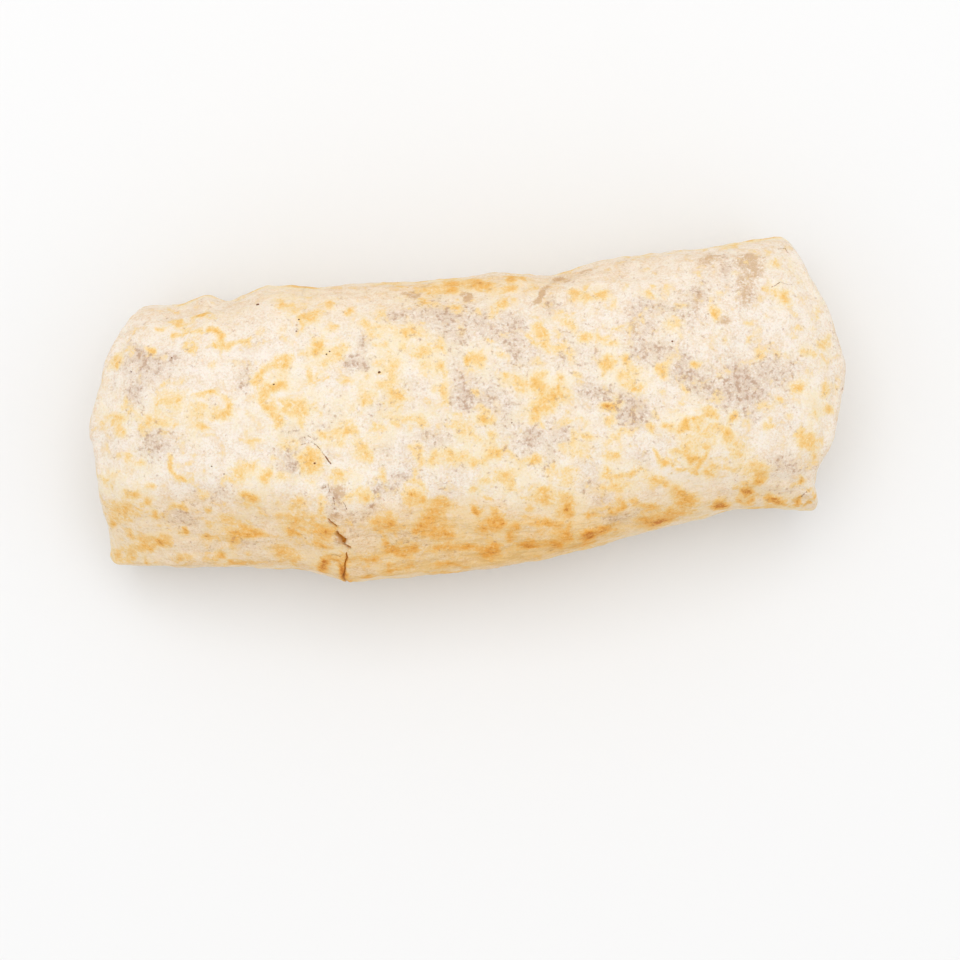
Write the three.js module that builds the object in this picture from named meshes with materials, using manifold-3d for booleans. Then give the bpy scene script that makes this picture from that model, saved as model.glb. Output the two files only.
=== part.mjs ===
// A whole burrito: one large flour tortilla rolled round its filling, lying on its seam.
// The tortilla's sides are folded in before it is rolled, so each end is a doubled edge that runs
// all round the roll, with the turned-in sheet crumpled shut inside it.
// One closed solid, in millimetres, +X along the roll, +Z up.
import * as THREE from "three";
import Module from "manifold-3d";

const { clamp, degToRad, lerp, smoothstep } = THREE.MathUtils;

// Driving sizes
const HALF_LENGTH = 108; // from the middle to the farthest point of an end
const HEIGHT = 58; // top of the roll above what it lies on
const END_HEIGHT = 44; // top of the roll at its ends
const TORTILLA = 2.2; // thickness of the flour tortilla
const FULLEST = 0.42; // level of the widest line, as a share of the height
const SAG = 3.2; // how much of the round underside is pressed flat

// Plan outline, seen from above: [along, across] on the long edges and [across, along] at the ends
const BACK_EDGE = [
  [-106, 39.5], [-88, 39.9], [-79, 39.2], [-71, 41], [-64, 38.8], [-54, 41], [-40, 40], [-18, 39],
  [4, 38], [14, 38.5], [27, 35.9], [42, 38.4], [52, 39.1], [76, 39.1], [92, 40.5], [108, 39],
];
const FRONT_EDGE = [
  [-108, -33], [-95, -35], [-67, -38.2], [-52, -40.3], [-40, -44.7], [-28, -45.3], [4, -45.6],
  [24, -43.9], [46, -40.2], [74, -36.6], [86, -37.4], [96, -39.2], [108, -39.4],
];
const RIGHT_END = [
  [-38, 97.4], [-31, 96.2], [-26, 98], [-20, 102], [-10, 105], [1.3, 108], [9, 107], [20, 104.6],
  [29, 101], [36, 98.6], [40, 96.5],
];
const LEFT_END = [
  [-34, -107.6], [-28, -106.6], [-16, -107], [1, -107], [4, -107.6], [10, -106.4], [18, -103.5],
  [27, -100.6], [34, -96.2], [38, -93], [40, -91],
];
const CREST = [
  [-HALF_LENGTH, END_HEIGHT], [-78, 54.5], [-35, HEIGHT], [20, HEIGHT - 0.6], [72, 55.5],
  [HALF_LENGTH, END_HEIGHT],
];

// How square the roll's section is: 1 is an ellipse, less is fuller
const ACROSS_POWER = 0.8;
const TOP_POWER = 0.82;
const UNDER_POWER = 0.76;

// The front comes down in a slope: [along, width seen from above]
const FRONT_SLOPE = [
  [-HALF_LENGTH, 22], [-50, 22], [0, 20], [20, 13], [40, 9], [70, 4], [HALF_LENGTH, 3],
];
const SLOPE_ANGLE = degToRad(46);
const SLOPE_ROUND = 5; // height over which the top rounds into the slope

// The ends: a folded edge, then the turned-in sheet running to a slit in the middle of the end
const FOLD = TORTILLA; // radius of the folded edge, which is two layers thick
const SHOULDER = 3; // the top comes down by this towards the folded edge
const SHOULDER_RUN = 16; // over this length
const UNDERCUT = 4; // the folded edge stands back by this at the bottom
const TURNED_IN = [[0, 0], [0.2, 3.6], [0.6, 1.6], [1, 6]]; // depth behind the edge, from edge to slit
const SLIT = 0.5; // length of the slit, as a share of the width
const SLIT_ARCH = 5; // the slit's middle stands this much higher than its ends
const PLEATS = 9; // pleats of the turned-in sheet round the end
const PLEAT_DEPTH = 1.3;

// The outer flap ends low on the back: this far below the back edge at the middle and at the ends
const SEAM_MIDDLE = degToRad(38);
const SEAM_END = degToRad(24);
const SEAM_STEP = degToRad(0.9);

// Relief of the sheet over its filling: waves along and across, creases and griddle blisters
const LUMPS = [
  { height: 0.8, along: 107, across: 82, shift: [1.3, 0.4] },
  { height: 0.5, along: 60, across: 69, shift: [2, 1.6] },
];
const CREASES = [
  { from: [-62, 39], to: [-85, 35.5], width: 2.2, depth: 1.3 },
  { from: [28, -40.5], to: [47, -36], width: 2, depth: 1 },
  { from: [78, -27], to: [94, -32], width: 1.8, depth: 1 },
  { from: [76, -32], to: [94, -35.5], width: 1.8, depth: 1 },
  { from: [99, 18], to: [82, 22], width: 2, depth: 0.7 },
];
const BLISTERS = [
  { at: [62, -12.5], width: 7, rise: 1.4 },
  { at: [-57, 5], width: 6.3, rise: 0.8 },
  { at: [-12, 14], width: 7.7, rise: 0.7 },
  { at: [26, 3], width: 7, rise: 0.7 },
];
const EDGE_FADE = 0.5; // the relief fades in from both long edges up to this sine of the angle

// The split at the front: [along, angle round the roll in degrees, half width]
const TEAR = [
  [-40, 186, 0.3], [-39.8, 172, 0.6], [-39.6, 155, 0.45], [-38.7, 142, 0.35], [-37.6, 134, 0.5],
  [-38.2, 129, 0.6], [-39.7, 123, 0.4], [-41.6, 119, 0.25],
];
const TEAR_STEPS = 28;
const TEAR_DEPTH = TORTILLA;
const TEAR_LIFT = 2; // the wedge that cuts it stands this far out of the skin

// Fineness of the mesh
const BODY_STATIONS = 25; // from the middle to the start of each folded edge
const FOLD_STATIONS = 4; // round the folded edge
const INNER_STATIONS = 5; // from the folded edge to the slit
const LAST_STATION = BODY_STATIONS + FOLD_STATIONS + INNER_STATIONS;
const HALF_RING = 30; // from the back edge over the top to the front edge
const SEAM_AT = 7; // ring step just before the flap's edge
const PROBE = 1e-4; // step for measuring the surface's direction

const tortillaSkin = new THREE.MeshStandardMaterial({ color: "#f3dcbb", roughness: 0.8, metalness: 0 });

// A smooth line through [where, value] points.
function smoothLine(points) {
  const where = points.map((point) => point[0]);
  const line = new THREE.CubicInterpolant(where, points.map((point) => point[1]), 1);
  return (t) => line.evaluate(clamp(t, where[0], where.at(-1)))[0];
}

// An end's outline, read by the share across it: -1 at the front corner, 1 at the back corner.
function endLine(points) {
  const line = smoothLine(points);
  const [front, back] = [points[0][0], points.at(-1)[0]];
  return (across) => line((front + back) / 2 + (across * (back - front)) / 2);
}

const backEdge = smoothLine(BACK_EDGE);
const frontEdge = smoothLine(FRONT_EDGE);
const crestLine = smoothLine(CREST);
const frontSlope = smoothLine(FRONT_SLOPE);
const rightEnd = endLine(RIGHT_END);
const leftEnd = endLine(LEFT_END);
const turnedIn = smoothLine(TURNED_IN);

const signedPower = (value, power) => Math.sign(value) * Math.abs(value) ** power;
const acrossAt = (angle) => signedPower(Math.cos(angle), ACROSS_POWER);
const bell = (distance, width) => Math.exp(-((distance / width) ** 2));

// The lesser of two heights, rounded over a reach where they cross.
function smoothMin(first, second, reach) {
  const near = Math.max(0, 1 - Math.abs(first - second) / reach);
  return Math.min(first, second) - (near ** 2 * reach) / 4;
}

// Where a station lies on one half: how far back from the end, how far in from the skin,
// and how far the end has closed towards its slit.
function halfProfile(station) {
  const place = Math.abs(station);
  if (place <= BODY_STATIONS) {
    return { back: lerp(HALF_LENGTH, FOLD, place / BODY_STATIONS), inset: 0, closing: 0 };
  }
  const turn = (Math.PI * (place - BODY_STATIONS)) / FOLD_STATIONS;
  if (turn <= Math.PI) {
    return { back: FOLD * (1 - Math.sin(turn)), inset: FOLD * (1 - Math.cos(turn)), closing: 0 };
  }
  const closing = (place - BODY_STATIONS - FOLD_STATIONS) / INNER_STATIONS;
  return { back: FOLD + turnedIn(closing), inset: 2 * FOLD, closing };
}

// The smooth roll before its relief. The angle runs from the back edge over the top.
function rollPoint(station, angle) {
  const upper = angle <= Math.PI;
  const around = upper ? angle : 2 * Math.PI - angle;
  const across = acrossAt(around);
  const rise = Math.sin(around) ** (upper ? TOP_POWER : UNDER_POWER);
  const { back, inset, closing } = halfProfile(station);
  const toEnd = 1 - smoothstep(back, 0, SHOULDER_RUN) * (1 - closing);

  const pleat = PLEAT_DEPTH * Math.sin(Math.PI * closing) * Math.cos(PLEATS * angle + Math.sign(station));
  const undercut = upper ? 0 : UNDERCUT * toEnd * rise * (1 - closing);
  const behind = back + undercut + pleat;
  const x = (station >= 0 ? rightEnd(across) : leftEnd(across)) * (1 - behind / HALF_LENGTH);

  const middle = (backEdge(x) + frontEdge(x)) / 2;
  const halfWidth = (backEdge(x) - frontEdge(x)) / 2;
  const y = middle + across * lerp(halfWidth - inset, SLIT * halfWidth, closing);

  const level = FULLEST * crestLine(x) + closing * SLIT_ARCH * (0.5 - across ** 2);
  if (!upper) {
    const reach = level + SAG * (1 - toEnd);
    return new THREE.Vector3(x, y, level - rise * (reach - inset) * (1 - closing));
  }
  const reach = crestLine(x) - level - SHOULDER * toEnd ** 2;
  const fromFront = (1 + across) * halfWidth;
  const slope = reach + Math.tan(SLOPE_ANGLE) * (fromFront - frontSlope(x));
  const height = smoothMin(rise * reach, slope, SLOPE_ROUND) - rise * inset;
  return new THREE.Vector3(x, y, level + height * (1 - closing));
}

// Angle below the back edge at which the outer flap ends.
function seamAngle(station) {
  return lerp(SEAM_MIDDLE, SEAM_END, Math.min(1, Math.abs(station) / BODY_STATIONS) ** 2);
}

// A groove along the straight line between two points, fading out at both.
function creaseShape({ x, y }, { from, to, width }) {
  const run = [to[0] - from[0], to[1] - from[1]];
  const length = Math.hypot(...run);
  const share = ((x - from[0]) * run[0] + (y - from[1]) * run[1]) / length ** 2;
  const aside = ((x - from[0]) * run[1] - (y - from[1]) * run[0]) / length;
  return bell(aside, width) * Math.sqrt(Math.max(0, 4 * share * (1 - share)));
}

// One standing wave of the filling under the sheet.
function lumpShape({ x, y }, { along, across, shift }) {
  return Math.sin((2 * Math.PI * x) / along + shift[0]) * Math.sin((2 * Math.PI * y) / across + shift[1]);
}

// How far the skin stands off the smooth roll, along its normal.
function relief(station, angle, point) {
  const onBody = smoothstep(halfProfile(station).back, FOLD, SHOULDER_RUN);
  if (Math.abs(station) >= BODY_STATIONS) return 0;
  if (angle <= Math.PI) {
    let off = 0;
    for (const lump of LUMPS) off += onBody * lump.height * lumpShape(point, lump);
    for (const crease of CREASES) off -= crease.depth * creaseShape(point, crease);
    for (const { at, width, rise } of BLISTERS) {
      off += rise * bell(Math.hypot(point.x - at[0], point.y - at[1]), width);
    }
    return off * smoothstep(Math.sin(angle), 0, EDGE_FADE);
  }
  const below = 2 * Math.PI - angle;
  const seam = seamAngle(station);
  const underFlap = smoothstep(below, seam - SEAM_STEP / 2, seam + SEAM_STEP / 2);
  return -TORTILLA * underFlap * ((Math.PI - below) / (Math.PI - seam)) * onBody;
}

// Outward direction of the smooth roll.
function rollNormal(station, angle) {
  const step = angle < PROBE ? PROBE : -PROBE;
  const here = rollPoint(station, angle);
  const round = rollPoint(station, angle + step).sub(here).multiplyScalar(Math.sign(step));
  const along = rollPoint(station + PROBE, angle).sub(rollPoint(station - PROBE, angle));
  return round.cross(along).normalize();
}

// The tortilla's outer skin, lying flat on its underside.
function skinPoint(station, angle) {
  const point = rollPoint(station, angle);
  const off = relief(station, angle, point);
  if (off !== 0) point.addScaledVector(rollNormal(station, angle), off);
  point.z = Math.max(0, point.z);
  return point;
}

// Angle of one ring step: two steps lie close together to carry the edge of the flap.
function ringAngle(step, station) {
  const seam = seamAngle(station);
  if (step <= SEAM_AT) return ((seam - SEAM_STEP) * step) / SEAM_AT;
  const rest = (step - SEAM_AT - 1) / (HALF_RING - SEAM_AT - 1);
  return lerp(seam + SEAM_STEP, Math.PI, rest);
}

function indexed(positions, faces) {
  const geometry = new THREE.BufferGeometry();
  geometry.setAttribute("position", new THREE.Float32BufferAttribute(positions, 3));
  geometry.setIndex(faces);
  return geometry;
}

// The closed skin: rings along the roll, the last at each end drawn shut to a slit.
function rollGeometry() {
  const ring = 2 * HALF_RING;
  const positions = [];
  const rows = [];
  for (let station = -LAST_STATION; station <= LAST_STATION; station += 1) {
    const shut = Math.abs(station) === LAST_STATION;
    const row = [];
    for (let step = 0; step < ring; step += 1) {
      const under = step > HALF_RING;
      if (shut && under) {
        row.push(row[ring - step]);
        continue;
      }
      const around = ringAngle(under ? ring - step : step, station);
      row.push(positions.length / 3);
      positions.push(...skinPoint(station, under ? 2 * Math.PI - around : around).toArray());
    }
    rows.push(row);
  }
  const faces = [];
  const addFace = (a, b, c) => {
    if (a !== b && b !== c && c !== a) faces.push(a, b, c);
  };
  for (let i = 0; i + 1 < rows.length; i += 1) {
    for (let step = 0; step < ring; step += 1) {
      const next = (step + 1) % ring;
      addFace(rows[i][step], rows[i + 1][step], rows[i + 1][next]);
      addFace(rows[i][step], rows[i + 1][next], rows[i][next]);
    }
  }
  return indexed(positions, faces);
}

// The wedge that the split takes out of the skin.
function tearGeometry() {
  const route = new THREE.CatmullRomCurve3(TEAR.map((place) => new THREE.Vector3(...place)));
  const cuts = [];
  for (let k = 0; k <= TEAR_STEPS; k += 1) {
    const { x, y: degrees, z: half } = route.getPoint(k / TEAR_STEPS);
    const angle = degToRad(degrees);
    const along = x / leftEnd(acrossAt(angle));
    const station = (-BODY_STATIONS * along * HALF_LENGTH) / (HALF_LENGTH - FOLD);
    cuts.push({ at: skinPoint(station, angle), out: rollNormal(station, angle), half });
  }
  const positions = [];
  cuts.forEach(({ at, out, half }, k) => {
    const run = cuts[Math.min(k + 1, TEAR_STEPS)].at.clone().sub(cuts[Math.max(k - 1, 0)].at);
    const side = out.clone().cross(run).normalize();
    const spread = (half * (TEAR_DEPTH + TEAR_LIFT)) / TEAR_DEPTH;
    const outer = at.clone().addScaledVector(out, TEAR_LIFT);
    positions.push(...outer.clone().addScaledVector(side, spread).toArray());
    positions.push(...outer.clone().addScaledVector(side, -spread).toArray());
    positions.push(...at.clone().addScaledVector(out, -TEAR_DEPTH).toArray());
  });
  const faces = [0, 1, 2];
  for (let k = 0; k < TEAR_STEPS; k += 1) {
    for (let corner = 0; corner < 3; corner += 1) {
      const [a, b] = [3 * k + corner, 3 * k + ((corner + 1) % 3)];
      faces.push(a, a + 3, b + 3, a, b + 3, b);
    }
  }
  faces.push(3 * TEAR_STEPS, 3 * TEAR_STEPS + 2, 3 * TEAR_STEPS + 1);
  return indexed(positions, faces);
}

const wasm = await Module();
wasm.setup();

// A closed geometry as a solid that can be cut, turned right side out if need be.
function solidOf(geometry) {
  const vertProperties = new Float32Array(geometry.getAttribute("position").array);
  const triVerts = new Uint32Array(geometry.index.array);
  const solid = new wasm.Manifold(new wasm.Mesh({ numProp: 3, vertProperties, triVerts }));
  if (solid.volume() > 0) return solid;
  for (let i = 0; i < triVerts.length; i += 3) {
    [triVerts[i + 1], triVerts[i + 2]] = [triVerts[i + 2], triVerts[i + 1]];
  }
  return new wasm.Manifold(new wasm.Mesh({ numProp: 3, vertProperties, triVerts }));
}

// The solid back as a geometry, its origin under the middle of its plan.
function grounded(solid) {
  const { vertProperties, triVerts } = solid.getMesh();
  const geometry = indexed(vertProperties, [...triVerts]);
  geometry.computeBoundingBox();
  const { min, max } = geometry.boundingBox;
  geometry.translate(-(min.x + max.x) / 2, -(min.y + max.y) / 2, -min.z);
  geometry.computeVertexNormals();
  return geometry;
}

function makeRoll() {
  const torn = solidOf(rollGeometry()).subtract(solidOf(tearGeometry()));
  const roll = new THREE.Mesh(grounded(torn), tortillaSkin);
  roll.name = "tortilla_roll";
  return roll;
}

const burrito = new THREE.Group();
burrito.name = "burrito";
burrito.add(makeRoll());

export default burrito;
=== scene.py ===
import math

import bmesh
import bpy
import numpy as np
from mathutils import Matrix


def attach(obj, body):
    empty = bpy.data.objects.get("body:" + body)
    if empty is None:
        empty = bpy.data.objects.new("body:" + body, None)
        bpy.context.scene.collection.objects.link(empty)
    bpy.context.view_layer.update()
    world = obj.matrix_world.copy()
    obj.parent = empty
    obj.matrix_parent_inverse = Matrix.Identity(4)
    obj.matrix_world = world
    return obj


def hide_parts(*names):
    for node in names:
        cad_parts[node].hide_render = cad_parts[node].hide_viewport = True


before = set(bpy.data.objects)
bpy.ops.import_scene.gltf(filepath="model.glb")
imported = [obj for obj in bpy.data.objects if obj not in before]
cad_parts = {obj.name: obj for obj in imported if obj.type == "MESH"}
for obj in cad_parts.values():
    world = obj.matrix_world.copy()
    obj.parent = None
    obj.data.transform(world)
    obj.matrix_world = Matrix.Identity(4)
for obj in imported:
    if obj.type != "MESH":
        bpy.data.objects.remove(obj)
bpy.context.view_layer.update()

# The rolled tortilla: one large sheet of soft flour dough, baked on a griddle, then rolled round its
# filling with both sides folded in. Each end is the folded edge of the sheet, with the turned-in part
# crumpled shut inside it. Nothing holds it but its own weight: it lies on its seam. Sizes are in mm.
MM = 0.001
HALF_LENGTH = 108
HEIGHT = 58
END_HEIGHT = 44
TORTILLA = 2.2
FULLEST = 0.42
SAG = 3.2
# Plan outline, seen from above: along and across on the long edges, across and along at the ends
BACK_EDGE = [
    (-106, 39.5), (-88, 39.9), (-79, 39.2), (-71, 41), (-64, 38.8), (-54, 41), (-40, 40), (-18, 39),
    (4, 38), (14, 38.5), (27, 35.9), (42, 38.4), (52, 39.1), (76, 39.1), (92, 40.5), (108, 39),
]
FRONT_EDGE = [
    (-108, -33), (-95, -35), (-67, -38.2), (-52, -40.3), (-40, -44.7), (-28, -45.3), (4, -45.6),
    (24, -43.9), (46, -40.2), (74, -36.6), (86, -37.4), (96, -39.2), (108, -39.4),
]
RIGHT_END = [
    (-38, 97.4), (-31, 96.2), (-26, 98), (-20, 102), (-10, 105), (1.3, 108), (9, 107), (20, 104.6),
    (29, 101), (36, 98.6), (40, 96.5),
]
LEFT_END = [
    (-34, -107.6), (-28, -106.6), (-16, -107), (1, -107), (4, -107.6), (10, -106.4), (18, -103.5),
    (27, -100.6), (34, -96.2), (38, -93), (40, -91),
]
CREST = [
    (-HALF_LENGTH, END_HEIGHT), (-78, 54.5), (-35, HEIGHT), (20, HEIGHT - 0.6), (72, 55.5),
    (HALF_LENGTH, END_HEIGHT),
]
# How square the section is: 1 is an ellipse, less is fuller
ACROSS_POWER = 0.8
TOP_POWER = 0.82
UNDER_POWER = 0.76
# The front comes down in a slope: place along the roll and width seen from above
FRONT_SLOPE = [
    (-HALF_LENGTH, 22), (-50, 22), (0, 20), (20, 13), (40, 9), (70, 4), (HALF_LENGTH, 3),
]
SLOPE_ANGLE = math.radians(46)
SLOPE_ROUND = 5
EDGE_FADE = 0.5
# The ends: a folded edge, then the turned-in sheet, pleated and drawn shut to a slit
FOLD = TORTILLA
SHOULDER = 3
SHOULDER_RUN = 16
UNDERCUT = 4
TURNED_IN = [(0, 0), (0.2, 3.6), (0.6, 1.6), (1, 6)]
SLIT = 0.5
SLIT_ARCH = 5
SLIT_SHUT = 0.985
PLEATS = 9
PLEAT_DEPTH = 1.3
# The outer flap ends low on the back: angles below the back edge
SEAM_MIDDLE = math.radians(38)
SEAM_END = math.radians(24)
SEAM_EDGE = 0.008
SEAM_REACH = 0.35
# Relief of the sheet over its filling: waves, creases between two points, and large blisters
LUMPS = [(0.8, 107, 82, 1.3, 0.4), (0.5, 60, 69, 2, 1.6)]
CREASES = [
    ((-62, 39), (-85, 35.5), 2.2, 1.3),
    ((28, -40.5), (47, -36), 2, 1),
    ((78, -27), (94, -32), 1.8, 1),
    ((76, -32), (94, -35.5), 1.8, 1),
    ((99, 18), (82, 22), 2, 0.7),
]
BLISTERS = [((62, -12.5), 7, 1.4), ((-57, 5), 6.3, 0.8), ((-12, 14), 7.7, 0.7), ((26, 3), 7, 0.7)]
# How strongly the steep sides are tinted, along the roll: partly real toasting, partly painted shade and
# painted warm reflected light
SIDES_SHADE_AND_TOAST_ALONG = [(-108, 0.58), (-60, 0.68), (-20, 1), (20, 1.05), (45, 0.7), (70, 0.45), (108, 0.4)]
# The split, as angle round the roll in degrees, place along it and half width
TEAR = [
    (118.6, -42, 0), (120, -41.5, 0.3), (121.2, -40.8, 0.45), (122.4, -40, 0.25), (123.3, -40.05, 0),
    (125.1, -40.1, 0), (126.3, -39.9, 0.5), (127.8, -39.4, 0.85), (129.5, -38.5, 0.95),
    (130.4, -38.5, 0.8), (131.6, -38.9, 0.5), (132.3, -38.3, 0.2), (133, -37.6, 0.5),
    (134.2, -37.4, 0.62), (135.2, -37.2, 0.5), (136.2, -37.5, 0.05), (137.5, -38.1, 0), (139, -38.4, 0.2),
    (141.5, -38.3, 0.3), (144, -38.8, 0.26), (147, -39.2, 0.2), (151.7, -39.4, 0.26),
    (156.5, -39.8, 0.28), (162, -40.3, 0.36), (166, -40.3, 0.42), (171, -39.8, 0.46), (178, -39.6, 0.3),
    (186, -40, 0),
]
TEAR_CENTRE = -39.5
TEAR_REACH = 7
TEAR_DEPTH = 1
TEAR_SHALLOW = 0.4
TEAR_WALL = 0.07
# Its edge is ragged by this share of the half width, in two waves round the roll
TEAR_RAGGED = 0.25
TEAR_TEETH = (167, 71)
TEAR_LIP = 0.3
LIP_AT = 0.5
LIP_WIDTH = 0.7
# Half widths of the split between which it opens, deepens and lifts its lips
TEAR_OPENS = (0.03, 0.2)
TEAR_DEEPENS = (0.25, 0.7)
LIP_LIFTS = (0.05, 0.4)

# Fineness of the mesh, spaced by the lengths round a typical section
ALONG_STEP = 0.67
TOP_STEP = 0.8
UNDER_STEP = 3
UNDER_FROM = -0.3
SEAM_FINE = math.radians(0.15)
SEAM_BAND = math.radians(1.2)
TEAR_FINE = 0.13
TEAR_BAND = 1.4
FOLD_RINGS = 12
INNER_RINGS = 18
RING_SAMPLES = 8001
TYPICAL_HALF_WIDTH = 42
TYPICAL_TOP = 33
TYPICAL_UNDER = 27
TYPICAL_FLAT = -24
TINY = 1e-12


def smooth_line(points):
    where, value = np.array(points, float).T
    slope = np.diff(value) / np.diff(where)
    tangent = np.concatenate([slope[:1], (slope[1:] + slope[:-1]) / 2, slope[-1:]])

    def line(at):
        at = np.clip(at, where[0], where[-1])
        i = np.clip(np.searchsorted(where, at, side="right") - 1, 0, len(where) - 2)
        step = where[i + 1] - where[i]
        p = (at - where[i]) / step
        rise = value[i + 1] - value[i]
        bend = (1 - p) * (tangent[i] * step - rise) - p * (tangent[i + 1] * step - rise)
        return value[i] + p * rise + p * (1 - p) * bend

    return line


def end_line(points):
    line = smooth_line(points)
    front, back = points[0][0], points[-1][0]
    return lambda across: line((front + back) / 2 + across * (back - front) / 2)


def smooth_step(value, low, high):
    share = np.clip((value - low) / (high - low), 0, 1)
    return share * share * (3 - 2 * share)


def bell(distance, width):
    return np.exp(-((distance / width) ** 2))


def smooth_min(first, second, reach):
    near = np.maximum(0, 1 - np.abs(first - second) / reach)
    return np.minimum(first, second) - near * near * reach / 4


front_slope = smooth_line(FRONT_SLOPE)
toast_and_shade_along = smooth_line(SIDES_SHADE_AND_TOAST_ALONG)
back_edge = smooth_line(BACK_EDGE)
front_edge = smooth_line(FRONT_EDGE)
crest_line = smooth_line(CREST)
right_end = end_line(RIGHT_END)
left_end = end_line(LEFT_END)
turned_in = smooth_line(TURNED_IN)
tear_place = smooth_line([(math.radians(angle), place) for angle, place, half in TEAR])
tear_half = smooth_line([(math.radians(angle), half) for angle, place, half in TEAR])


def across_share(angle):
    turn = np.cos(angle)
    return np.sign(turn) * np.abs(turn) ** ACROSS_POWER


def roll_surface(side, back, inset, closing, angle):
    upper = angle <= np.pi
    around = np.where(upper, angle, 2 * np.pi - angle)
    across = across_share(around)
    rise = np.clip(np.sin(around), 0, 1) ** np.where(upper, TOP_POWER, UNDER_POWER)
    to_end = 1 - smooth_step(back, 0, SHOULDER_RUN) * (1 - closing)
    pleat = PLEAT_DEPTH * np.sin(np.pi * closing) * np.cos(PLEATS * angle + side)
    undercut = np.where(upper, 0, UNDERCUT * to_end * rise * (1 - closing))
    end = np.where(side > 0, right_end(across), left_end(across))
    x = end * (1 - (back + undercut + pleat) / HALF_LENGTH)
    middle = (back_edge(x) + front_edge(x)) / 2
    half_width = (back_edge(x) - front_edge(x)) / 2
    y = middle + across * ((half_width - inset) * (1 - closing) + SLIT * half_width * closing)
    level = FULLEST * crest_line(x) + closing * SLIT_ARCH * (0.5 - across**2)
    top = crest_line(x) - level - SHOULDER * to_end**2
    slope = top + math.tan(SLOPE_ANGLE) * ((1 + across) * half_width - front_slope(x))
    over = smooth_min(rise * top, slope, SLOPE_ROUND) - rise * inset
    under = -rise * (level + SAG * (1 - to_end) - inset)
    z = level + np.where(upper, over, under) * (1 - closing)
    return np.stack([x, y, z], axis=-1)


def ring_angles():
    angle = np.linspace(0, 2 * np.pi, RING_SAMPLES)
    upper = angle <= np.pi
    y = TYPICAL_HALF_WIDTH * across_share(np.where(upper, angle, 2 * np.pi - angle))
    z = np.sin(angle)
    power = np.where(upper, TOP_POWER, UNDER_POWER)
    z = np.sign(z) * np.abs(z) ** power * np.where(upper, TYPICAL_TOP, TYPICAL_UNDER)
    length = np.hypot(np.diff(y), np.diff(np.maximum(z, TYPICAL_FLAT)))
    step = UNDER_STEP + (TOP_STEP - UNDER_STEP) * smooth_step(np.sin(angle[1:]), UNDER_FROM, 0)
    seam = 2 * np.pi - SEAM_MIDDLE
    fine = np.abs(angle[1:] - seam) < SEAM_BAND
    count = np.where(fine, (angle[1] - angle[0]) / SEAM_FINE, length / step)
    total = np.concatenate([[0], np.cumsum(count)])
    return np.interp(np.linspace(0, total[-1], int(total[-1]) + 1)[:-1], total, angle)


def half_rings(shares):
    body = HALF_LENGTH + (FOLD - HALF_LENGTH) * shares
    turn = np.linspace(0, np.pi, FOLD_RINGS + 1)[1:]
    inner = np.linspace(0, SLIT_SHUT, INNER_RINGS + 1)[1:]
    back = np.concatenate([body, FOLD * (1 - np.sin(turn)), FOLD + turned_in(inner)])
    inset = np.concatenate([0 * body, FOLD * (1 - np.cos(turn)), np.full(INNER_RINGS, 2 * FOLD)])
    closing = np.concatenate([0 * body, 0 * turn, inner])
    return np.stack([back, inset, closing])


def unevenness(points, wavelength, seed, waves=9):
    draw = np.random.default_rng(seed)
    heading = draw.normal(size=(waves, 3))
    heading /= np.linalg.norm(heading, axis=1, keepdims=True)
    pace = 2 * np.pi / (wavelength * draw.uniform(0.7, 1.5, waves))
    start = draw.uniform(0, 2 * np.pi, waves)
    total = sum(np.cos((points @ heading[k]) * pace[k] + start[k]) for k in range(waves))
    return total * math.sqrt(2 / waves)


def crease_shape(x, y, start, end, width):
    run_x, run_y = end[0] - start[0], end[1] - start[1]
    length = math.hypot(run_x, run_y)
    share = ((x - start[0]) * run_x + (y - start[1]) * run_y) / length**2
    aside = ((x - start[0]) * run_y - (y - start[1]) * run_x) / length
    return bell(aside, width) * np.sqrt(np.clip(4 * share * (1 - share), 0, 1))


body_steps = int(HALF_LENGTH / ALONG_STEP)
plain_shares = np.linspace(0, 1, body_steps + 1)
tear_share = TEAR_CENTRE / left_end(0.0)
near_tear = tear_share + np.arange(-TEAR_BAND, TEAR_BAND + TEAR_FINE / 2, TEAR_FINE) / HALF_LENGTH
clear_of_tear = np.abs(plain_shares - tear_share) > (TEAR_BAND + TEAR_FINE) / HALF_LENGTH
torn_shares = np.sort(np.concatenate([plain_shares[clear_of_tear], near_tear]))
left_half = half_rings(torn_shares)[:, ::-1]
right_half = half_rings(plain_shares)[:, 1:]
rings = np.concatenate([left_half, right_half], axis=1)
side = np.where(np.arange(rings.shape[1]) < left_half.shape[1], -1.0, 1.0)[:, None]
back, inset, closing = (row[:, None] for row in rings)

base_angle = ring_angles()[None, :]
along_half = np.clip(1 - back / HALF_LENGTH, 0, 1)
seam_angle = SEAM_MIDDLE + (SEAM_END - SEAM_MIDDLE) * along_half**2
seam_shift = (SEAM_MIDDLE - seam_angle) * bell(base_angle - 2 * np.pi + SEAM_MIDDLE, SEAM_REACH)
angle = np.clip(base_angle + seam_shift, 0, 2 * np.pi)

share_of_tear = tear_place(angle) / left_end(across_share(angle))
tear_shift = (share_of_tear - tear_share) * bell((along_half - tear_share) * HALF_LENGTH, TEAR_REACH)
on_tear_side = (side < 0) & (inset == 0)
back_here = back - np.where(on_tear_side, tear_shift, 0) * HALF_LENGTH
smooth = roll_surface(side + 0 * angle, back_here, inset + 0 * angle, closing + 0 * angle, angle)

round_step = np.roll(smooth, -1, axis=1) - np.roll(smooth, 1, axis=1)
normal = np.cross(round_step, np.gradient(smooth, axis=0))
normal /= np.linalg.norm(normal, axis=-1, keepdims=True) + TINY
x, y = smooth[..., 0], smooth[..., 1]
on_body = smooth_step(back_here, FOLD, SHOULDER_RUN) * (inset == 0)

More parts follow.
